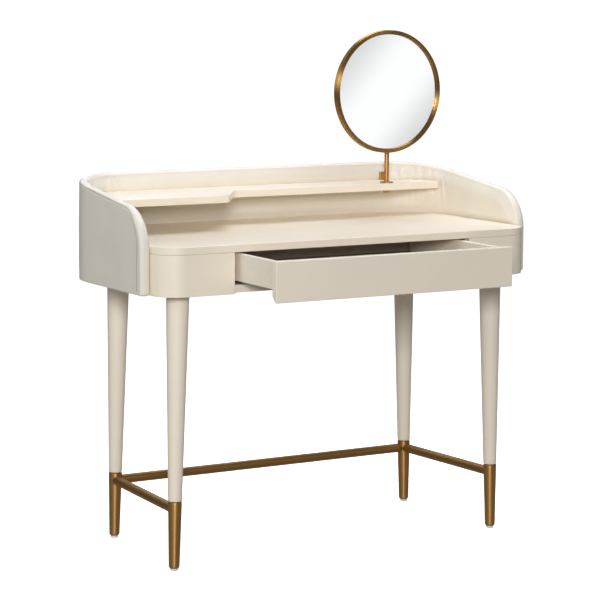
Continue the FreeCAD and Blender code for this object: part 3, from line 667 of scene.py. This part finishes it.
def wall_spacing():
    """Runs of the columns along the top: close together in the corners, where the leather creases."""
    start = NOSE * (1 - math.cos(NOSE_END / 2))
    middle = WHOLE_RUN / 2
    wide, wider, close = 0.008, 0.009, 0.0028
    places = [start, SIDE_RUN - 0.02, SIDE_RUN, SIDE_RUN + CORNER_RUN, SIDE_RUN + CORNER_RUN + 0.03, middle]
    steps = [wide, wide, close, close, wider, wider]
    runs = [start]
    while runs[-1] < middle - wide / 2:
        runs.append(runs[-1] + np.interp(runs[-1], places, steps))
    runs[-1] = middle
    return runs + [WHOLE_RUN - s for s in reversed(runs[:-1])]


ROWS = 34                   # rows of faces up each end of the wall
RIM = 0.028                 # width of the strip that follows the edge; a plain patch fills the rest
EDGE = 0.0090               # depth of the rounded edge
EDGE_POWER = 2 / 2.15       # how full its section is: 1 is an ellipse
PER_DEGREE = 0.00019        # how much deeper one degree more is on the outer face
HEM = 0.006                 # height of the turned-in bottom edge
# the hem's rows: how far down, and how far in from the face; None is right in to the middle
HEM_ROWS = ((0.0022, 0.0), (0.0042, 0.0010), (0.0054, 0.0026), (0.0058, 0.0045), (0.0058, None))
HEM_DROP = HEM_ROWS[-1][0]
HEM_CRISP = 0.55            # how much sharper the bottom edge is away from the wall's front ends


def border():
    """The wall's edge unrolled: points (run, height) from the right front up, over and down again,
    with the inward direction at each. The middle part has the columns of wall_spacing()."""
    low = CASE_LOW + HEM
    upright = NOSE_Z - low
    bend = NOSE * NOSE_END / 2
    side = []
    for k in range(ROWS + 1):
        travelled = (upright + bend) * k / ROWS
        if travelled < upright:
            side.append((0.0, low + travelled))
        else:
            turn = (travelled - upright) / NOSE
            side.append((NOSE - NOSE * math.cos(turn), NOSE_Z + NOSE * math.sin(turn)))
    top = [(s, top_height(s)) for s in wall_spacing()]
    other = [(WHOLE_RUN - s, z) for s, z in reversed(side)]
    points = np.array(side + top[1:-1] + other)
    tangent = np.gradient(points, axis=0)
    tangent[0] = (0, 1)
    tangent[-1] = (0, -1)
    tangent /= np.linalg.norm(tangent, axis=1)[:, None]
    inward = np.stack([tangent[:, 1], -tangent[:, 0]], axis=1)
    return points, inward, len(top) - 1


def rim(turn, sunk=0.0):
    """Depth from the edge and offset from the middle, going round the wall's rounded edge: -90 where the
    inner face starts, 0 at the very edge, 90 where the outer face starts, more further in on that face.
    sunk is how far the point lies under the surface."""
    lean = math.radians(min(turn, 90))
    depth = EDGE * (1 - max(math.cos(lean), 0) ** EDGE_POWER)
    offset = math.copysign(WALL_HALF * abs(math.sin(lean)) ** EDGE_POWER, turn)
    if turn > 90:
        depth += (turn - 90) * PER_DEGREE
    return depth + sunk * math.cos(lean), offset - sunk * math.sin(lean)


def seam_turn(point):
    """Where the stitched seam lies round the rim: well in on the outer face below, near the edge above."""
    lower, upper = 142, 50
    run = min(point[0], WHOLE_RUN - point[0])
    wander = 3 * noise.noise((point[0] * 60, point[1] * 60, 2.7))
    return lower - (lower - upper) * smooth(-0.01, 0.17, point[1] - NOSE_Z + run) + wander


def creases(s, z):
    """Soft folds where the cover is gathered round the rear corners on the inner face."""
    depth = 0.0
    for centre, slant, width, reach, size in FOLDS:
        drop = top_height(s) - z
        off = (s - centre - slant * drop) / width
        if abs(off) < 3.5:
            depth += size * math.exp(-off * off) * math.exp(-(drop / reach) ** 2)
    return depth


def make_folds():
    """Each fold's run, slant, half width, reach below the edge and depth, in both rear corners."""
    folds = []
    for start in (SIDE_RUN, SIDE_RUN + CORNER_RUN + REAR_RUN):
        s = start + 0.012
        while s < start + CORNER_RUN - 0.008:
            folds.append((s, random.uniform(-0.35, 0.35), random.uniform(0.0035, 0.0065),
                          random.uniform(0.030, 0.085), random.uniform(0.0013, 0.0030)))
            s += random.uniform(0.011, 0.022)
    return folds


FOLDS = make_folds()


def inner_swell(s, z, d):
    """How far the padding stands proud of the inner face, d in from the edge. It is flat behind the
    worktop and pressed in where the shelf's edge meets it."""
    shelf_middle, shelf_reach = 0.836, 0.015
    rear = smooth(SIDE_RUN, SIDE_RUN + 0.08, min(s, WHOLE_RUN - s))
    swell = 0.0068 * smooth(0.004, 0.034, d) * smooth(0.7605, 0.776, z)
    swell *= 1 - 0.92 * rear * math.exp(-((z - shelf_middle) / shelf_reach) ** 2)
    uneven = 0.0009 * noise.noise((s * 11, z * 17, 0.3)) * smooth(0.765, 0.79, z)
    return max(swell + uneven - creases(s, z), -0.0005)


def outer_swell(s, z, d):
    """How far the cover stands proud of the outer face, d in from the edge."""
    uneven = 0.0007 * noise.noise((s * 7, z * 9, 4.2)) + 0.0004 * noise.noise((s * 23, z * 21, 9.1))
    return (0.0012 + uneven) * smooth(0.020, 0.110, d)


def upholster(name, strips, side, swell, replaced):
    """One leather cover on the wall's inner (side -1) or outer (side 1) face. strips gives each border
    point its rows of (depth from the edge, offset). Where an offset is None, swell shapes the face. A
    patch fills the face inside the last row, and a hem closes the bottom."""
    points, inward, tops = border()
    columns = len(points)
    rows = len(strips(points[0]))
    flat = []
    for r in range(rows):
        for c in range(columns):
            depth, offset = strips(points[c])[r]
            s, z = points[c] + inward[c] * depth
            flat.append((s, z, offset, depth))
    faces = quads(rows, columns)
    last = (rows - 1) * columns
    index = {(i, ROWS): last + ROWS + i for i in range(tops + 1)}
    for j in range(ROWS + 1):
        index[(0, j)] = last + j
        index[(tops, j)] = last + columns - 1 - j
    inner_edge = [np.array(flat[last + c][:2]) for c in range(columns)]
    left, top = inner_edge[:ROWS + 1], inner_edge[ROWS:ROWS + tops + 1]
    right = inner_edge[::-1][:ROWS + 1]
    for i in range(1, tops):
        a = (top[i][0] - top[0][0]) / (top[-1][0] - top[0][0])
        bottom = left[0] * (1 - a) + right[0] * a
        for j in range(ROWS):
            b = j / ROWS
            spot = ((1 - b) * bottom + b * top[i] + (1 - a) * left[j] + a * right[j]
                    - (1 - a) * (1 - b) * left[0] - a * (1 - b) * right[0]
                    - (1 - a) * b * left[-1] - a * b * right[-1])
            index[(i, j)] = len(flat)
            inside = min(top[i][1] - spot[1], spot[0] - left[j][0], right[j][0] - spot[0])
            flat.append((spot[0], spot[1], None, RIM + inside))
    for i in range(tops):
        for j in range(ROWS):
            faces.append((index[(i, j)], index[(i, j + 1)], index[(i + 1, j + 1)], index[(i + 1, j)]))
    full = [(s, z, side * (WALL_HALF + swell(s, z, depth)) if offset is None else offset)
            for s, z, offset, depth in flat]
    chain = [r * columns for r in range(rows)] + [index[(i, 0)] for i in range(1, tops)]
    chain += [r * columns + columns - 1 for r in reversed(range(rows))]
    hem(full, faces, chain)
    verts = []
    for s, z, offset in full:
        x, y, nx, ny = wall_path(s)
        verts.append((x + nx * offset, y + ny * offset, z))
    if side > 0:
        faces = [tuple(reversed(f)) for f in faces]
    cover = piece(name, verts, faces, "leather", "table", replaced=replaced, slot="leather")


def hem(full, faces, chain):
    """Turn the cover's bottom edge in under the wall, in rounded rows below the points of chain."""
    previous = chain
    for drop, shrink in HEM_ROWS:
        row = []
        for k in chain:
            s, z, offset = full[k]
            front = min(s, WHOLE_RUN - s)
            crispness = HEM_CRISP * smooth(0.0, 0.060, front)
            ratio = 0.0 if shrink is None else 1 - shrink * (1 - crispness) / WALL_HALF
            pull = (WALL_HALF if shrink is None else shrink) * smooth(0.022, 0.0, front)
            row.append(len(full))
            full.append((s + (pull if s < WHOLE_RUN / 2 else -pull),
                         z - drop - (HEM_DROP - drop) * crispness, offset * ratio))
        for k in range(len(chain) - 1):
            faces.append((previous[k], previous[k + 1], row[k + 1], row[k]))
        previous = row


def edge_rows(point):
    """From the seam on the outer face, round the edge, and on to the inner face."""
    seam = seam_turn(point)
    rows = [rim(seam + 4, 0.0024), rim(seam + 1, 0.0011), rim(seam - 4, 0.0002)]
    rows += [rim(turn) for turn in np.linspace(seam - 10, -90, 17)]
    return rows + [(depth, None) for depth in (0.012, 0.0165, 0.022, RIM)]


def panel_rows(point):
    """The outer panel from its seam inwards."""
    seam = seam_turn(point)
    rows = [rim(seam - 2, 0.0026), rim(seam + 3, 0.0011), rim(seam + 8, 0.0002)]
    rows += [rim(turn) for turn in np.linspace(seam + 14, 158, 6)]
    return rows + [(depth, None) for depth in (0.0248, RIM)]


def stitches():
    """Threads along the outer seam, each a small spindle that dips in at both ends."""
    pitch, length, girth, first = 0.0068, 0.0047, 0.00070, 0.002
    rings, sides = 6, 6
    points, inward, _ = border()
    line, heights = [], []
    for point, way in zip(points, inward):
        depth, offset = rim(seam_turn(point) + 8)
        line.append(point + way * depth)
        heights.append(offset)
    line = np.array(line)
    gaps = np.linalg.norm(np.diff(line, axis=0), axis=1)
    travelled = np.concatenate([[0], np.cumsum(gaps)])

    def on_seam(distance):
        return [np.interp(distance, travelled, line[:, axis]) for axis in (0, 1)]

    verts, faces = [], []
    for k in range(int(travelled[-1] / pitch)):
        base = len(verts)
        for r in range(rings):
            t = r / (rings - 1)
            here = first + k * pitch + length * t
            s, z = on_seam(here)
            ahead_s, ahead_z = on_seam(here + 0.0005)
            way = Vector((ahead_s - s, ahead_z - z)).normalized()
            lift = np.interp(here, travelled, heights) - 0.0004 + 0.0008 * math.sin(math.pi * t)
            fat = girth * (0.35 + 0.65 * math.sin(math.pi * min(max(t, 0.06), 0.94)))
            for j in range(sides):
                turn = 2 * math.pi * j / sides
                aside = fat * math.cos(turn)
                x, y, nx, ny = wall_path(s + way[1] * aside)
                out = lift + fat * math.sin(turn)
                verts.append((x + nx * out, y + ny * out, z - way[0] * aside))
        faces += quads(rings, sides, wrap=True, start=base) + ends(rings, sides, start=base)
    piece("seam_stitches", verts, faces, "thread", "table", slot="leather")


def gallery_pieces():
    """The two leather covers of the gallery and the thread in their seam."""
    upholster("gallery_lining", edge_rows, -1, inner_swell, ["gallery_inner_pad", "gallery_border_strip"])
    upholster("gallery_cover", panel_rows, 1, outer_swell, ["gallery_outer_cover"])
    stitches()


# ---- the CAD pieces that stay ---------------------------------------------------------------------------

def dress_cad():
    """Materials for the CAD pieces that keep their own shapes."""
    dressed = {
        "lacquer": ["bottom_panel"],
        "board": ["left_side_rail", "right_side_rail", "back_rail", "left_partition", "right_partition",
                  "gallery_core"],
        "drawer_shaded_base": ["drawer_back", "drawer_bottom"],
        "steel": ["runner_fixed_left", "runner_fixed_right", "runner_middle_left", "runner_middle_right",
                  "runner_moving_left", "runner_moving_right", "leg_hanger_bolts", "runner_screws",
                  "shelf_screws", "gallery_screws_left", "gallery_screws_right"],
        "brass_plain": ["post_bushing", "flange_screws"],
        "back_plate": ["mirror_back_plate"],
    }
    for material, names in dressed.items():
        for name in names:
            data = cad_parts[name].data
            data.materials.clear()
            data.materials.append(MATERIALS[material])


# ---- studio ----------------------------------------------------------------------------------------------

CAMERA_AT = (-2.9036, -4.82035, 1.3625)
CAMERA_YAW = math.radians(-30.6)
CAMERA_PITCH = math.radians(-7.8)
CAMERA_ROLL = math.radians(0.4)
CAMERA_LENS = 141.2         # mm, on a sensor 36 mm wide

LIGHTS = {
    # name: (place, aim, width, height, watts, colour)
    "top": ((0.7, 0.3, 3.0), (0.2, 0.1, 0.8), 2.0, 1.2, 50, (0.86, 0.89, 1.0)),
    "left": ((-3.0, -0.6, 1.9), (0.0, 0.0, 0.8), 1.4, 1.6, 16, (0.9, 1.0, 0.97)),
    "lens": ((-3.4, -5.8, 2.4), (0.0, 0.0, 0.7), 1.3, 1.3, 258, (0.94, 0.935, 1.0)),
    "rear": ((0.3, 3.0, 2.2), (0.0, 0.0, 0.8), 2.0, 1.4, 16, (0.96, 0.98, 1.0)),
}
# the surroundings' tones: below, at the horizon and above
GROUND = (0.27, 0.27, 0.275)
HORIZON = (0.05, 0.05, 0.055)
SKY = (0.22, 0.22, 0.24)
PAPER_GLOW = 0.85

# the card that the mirror shows: where it stands from the ring's middle, its half width and its tones
# by share of the way along its diagonal
CARD_WAY = (0.539, -0.841, -0.0475)
CARD_AWAY = 2.6
CARD_HALF = 0.26
CARD_TONES = ((0.22, 0.735), (0.44, 1.06), (0.55, 1.06), (0.78, 0.75))
CARD_TILT = 1.3             # how much more its tone follows its width than its height


def studio():
    """The camera, the lights, the surroundings, the paper and the card."""
    scene = bpy.context.scene
    data = bpy.data.cameras.new("camera")
    data.lens = CAMERA_LENS
    data.sensor_width = 36.0
    data.clip_end = 60
    camera = bpy.data.objects.new("camera", data)
    scene.collection.objects.link(camera)
    cos_pitch, sin_pitch = math.cos(CAMERA_PITCH), math.sin(CAMERA_PITCH)
    cos_yaw, sin_yaw = math.cos(CAMERA_YAW), math.sin(CAMERA_YAW)
    cos_roll, sin_roll = math.cos(CAMERA_ROLL), math.sin(CAMERA_ROLL)
    ahead = Vector((-sin_yaw * cos_pitch, cos_yaw * cos_pitch, sin_pitch))
    right = Vector((cos_yaw, sin_yaw, 0))
    up = right.cross(ahead)
    across = cos_roll * right + sin_roll * up
    upward = -sin_roll * right + cos_roll * up
    camera.matrix_world = Matrix((
        (across.x, upward.x, -ahead.x, CAMERA_AT[0]),
        (across.y, upward.y, -ahead.y, CAMERA_AT[1]),
        (across.z, upward.z, -ahead.z, CAMERA_AT[2]),
        (0, 0, 0, 1)))
    scene.camera = camera
    for name, (place, aim, width, height, watts, colour) in LIGHTS.items():
        lamp = bpy.data.lights.new(name, "AREA")
        lamp.shape = "RECTANGLE"
        lamp.size, lamp.size_y = width, height
        lamp.energy = watts
        lamp.color = colour
        holder = bpy.data.objects.new(name, lamp)
        scene.collection.objects.link(holder)
        holder.location = place
        holder.rotation_euler = (Vector(aim) - Vector(place)).to_track_quat("-Z", "Y").to_euler()
    scene.world = surroundings()
    scene.view_settings.view_transform = "Standard"
    cove()
    reflector()


def fill_ramp(node, tones):
    """Set a colour ramp from (position, colour) pairs in order."""
    stops = node.color_ramp.elements
    for stop, (position, colour) in zip((stops[0], stops[-1]), (tones[0], tones[-1])):
        stop.position, stop.color = position, (*colour, 1)
    for position, colour in tones[1:-1]:
        stops.new(position).color = (*colour, 1)


def surroundings():
    """A plain studio: one tone for the ground, a dimmer one at the horizon, and one above."""
    world = bpy.data.worlds.new("studio")
    world.use_nodes = True
    tree = world.node_tree
    where = tree.nodes.new("ShaderNodeTexCoord")
    parts = tree.nodes.new("ShaderNodeSeparateXYZ")
    ramp = tree.nodes.new("ShaderNodeValToRGB")
    height = tree.nodes.new("ShaderNodeMapRange")
    lowest, level, highest = -0.25, 0.002, 0.35
    height.inputs["From Min"].default_value = lowest
    height.inputs["From Max"].default_value = highest
    fill_ramp(ramp, ((0, GROUND), ((level - lowest) / (highest - lowest), HORIZON), (1, SKY)))
    tree.links.new(where.outputs["Generated"], parts.inputs[0])
    tree.links.new(parts.outputs["Z"], height.inputs["Value"])
    tree.links.new(height.outputs["Result"], ramp.inputs["Fac"])
    tree.links.new(ramp.outputs["Color"], tree.nodes["Background"].inputs["Color"])
    return world


def cove():
    """A pale paper floor that curves up into a backdrop all round. The mirror and the metals don't see it."""
    radius, bend, tall = 9.0, 2.0, 9.0
    profile = [(0.0, 0.0)] + arc((radius - bend, bend), bend, -90, 0, 9) + [(radius, tall)]
    sides = 64
    verts = [(r * math.cos(2 * math.pi * k / sides), r * math.sin(2 * math.pi * k / sides), z)
             for r, z in profile for k in range(sides)]
    data = bpy.data.meshes.new("cove")
    data.from_pydata(verts, [], quads(len(profile), sides, wrap=True))
    data.polygons.foreach_set("use_smooth", [True] * len(data.polygons))
    paper = bpy.data.objects.new("cove", data)
    bpy.context.scene.collection.objects.link(paper)
    s = Shader("paper", Roughness=0.9, Specular_IOR_Level=0.0, Emission_Strength=PAPER_GLOW)
    s.bsdf.inputs["Emission Color"].default_value = (1, 1, 1, 1)
    s.feed("Base Color", s.blend(s.noise(s.coords(), 1.5, 3.0),
                                 (0.90, 0.90, 0.90, 1), (0.93, 0.93, 0.93, 1)))
    data.materials.append(s.done())
    paper.visible_diffuse = False
    paper.visible_glossy = False
    paper.visible_shadow = False


def card_material():
    """A glow that is brightest along one diagonal of the card."""
    material = bpy.data.materials.new("card_glow")
    material.use_nodes = True
    tree = material.node_tree
    tree.nodes.clear()
    where = tree.nodes.new("ShaderNodeTexCoord")
    parts = tree.nodes.new("ShaderNodeSeparateXYZ")
    diagonal = tree.nodes.new("ShaderNodeMath")
    share = tree.nodes.new("ShaderNodeMath")
    ramp = tree.nodes.new("ShaderNodeValToRGB")
    glow = tree.nodes.new("ShaderNodeEmission")
    out = tree.nodes.new("ShaderNodeOutputMaterial")
    diagonal.operation = "MULTIPLY_ADD"
    diagonal.inputs[1].default_value = CARD_TILT
    share.operation = "DIVIDE"
    share.inputs[1].default_value = CARD_TILT + 1
    ramp.color_ramp.interpolation = "EASE"
    fill_ramp(ramp, [(position, (tone, tone, tone)) for position, tone in CARD_TONES])
    for source, target in ((where.outputs["UV"], parts.inputs[0]),
                           (parts.outputs["X"], diagonal.inputs[0]),
                           (parts.outputs["Y"], diagonal.inputs[2]),
                           (diagonal.outputs[0], share.inputs[0]),
                           (share.outputs[0], ramp.inputs["Fac"]),
                           (ramp.outputs["Color"], glow.inputs["Color"]),
                           (glow.outputs[0], out.inputs[0])):
        tree.links.new(source, target)
    return material


def reflector():
    """A card that only the mirror and the metals see."""
    facing = Vector(CARD_WAY).normalized()
    centre = Vector(MIRROR) + facing * CARD_AWAY
    side = facing.cross(Vector((0, 0, 1))).normalized()
    lift = side.cross(facing)
    corners = [centre + side * a * CARD_HALF + lift * b * CARD_HALF
               for a, b in ((-1, -1), (1, -1), (1, 1), (-1, 1))]
    data = bpy.data.meshes.new("card")
    data.from_pydata([tuple(c) for c in corners], [], [(0, 1, 2, 3)])
    layer = data.uv_layers.new(name="UVMap")
    for loop, uv in zip(layer.data, ((0, 0), (1, 0), (1, 1), (0, 1))):
        loop.uv = uv
    data.materials.append(card_material())
    card = bpy.data.objects.new("card", data)
    bpy.context.scene.collection.objects.link(card)
    card.visible_camera = False
    card.visible_diffuse = False
    card.visible_shadow = False


case_pieces()
drawer_pieces()
leg_pieces()
mirror_pieces()
gallery_pieces()
dress_cad()
studio()
